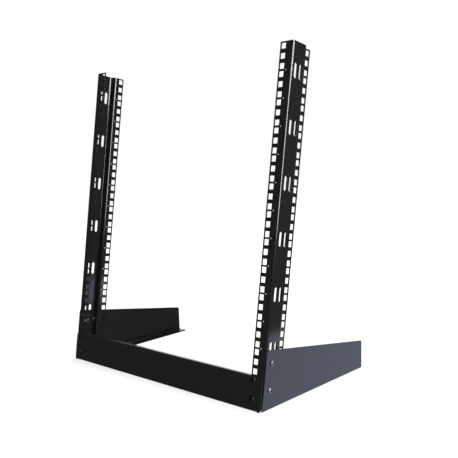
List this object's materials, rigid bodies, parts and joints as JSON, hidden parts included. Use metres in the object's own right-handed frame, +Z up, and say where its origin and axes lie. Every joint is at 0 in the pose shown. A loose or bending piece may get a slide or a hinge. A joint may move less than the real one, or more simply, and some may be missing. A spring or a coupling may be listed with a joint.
{
  "type": "two post open frame equipment rack for a table, 12 units",
  "caption": "Table top open frame for 19 inch equipment: two folded posts leaning back 10 degrees, a front bar and two tapering base brackets.",
  "frame": {"origin": "middle of the footprint, on the surface that the rack stands on", "axes": "+Z up, +X to the right seen from the front, the front with the bar faces -Y"},
  "size_m": [0.5084, 0.3, 0.5827],
  "materials": {
    "powder_coat": "black powder coat, satin, fine texture"
  },
  "bodies": {
    "root": {"left_post": "powder_coat", "right_post": "powder_coat", "front_bar": "powder_coat", "left_base_bracket": "powder_coat", "right_base_bracket": "powder_coat"}
  },
  "joints": []
}
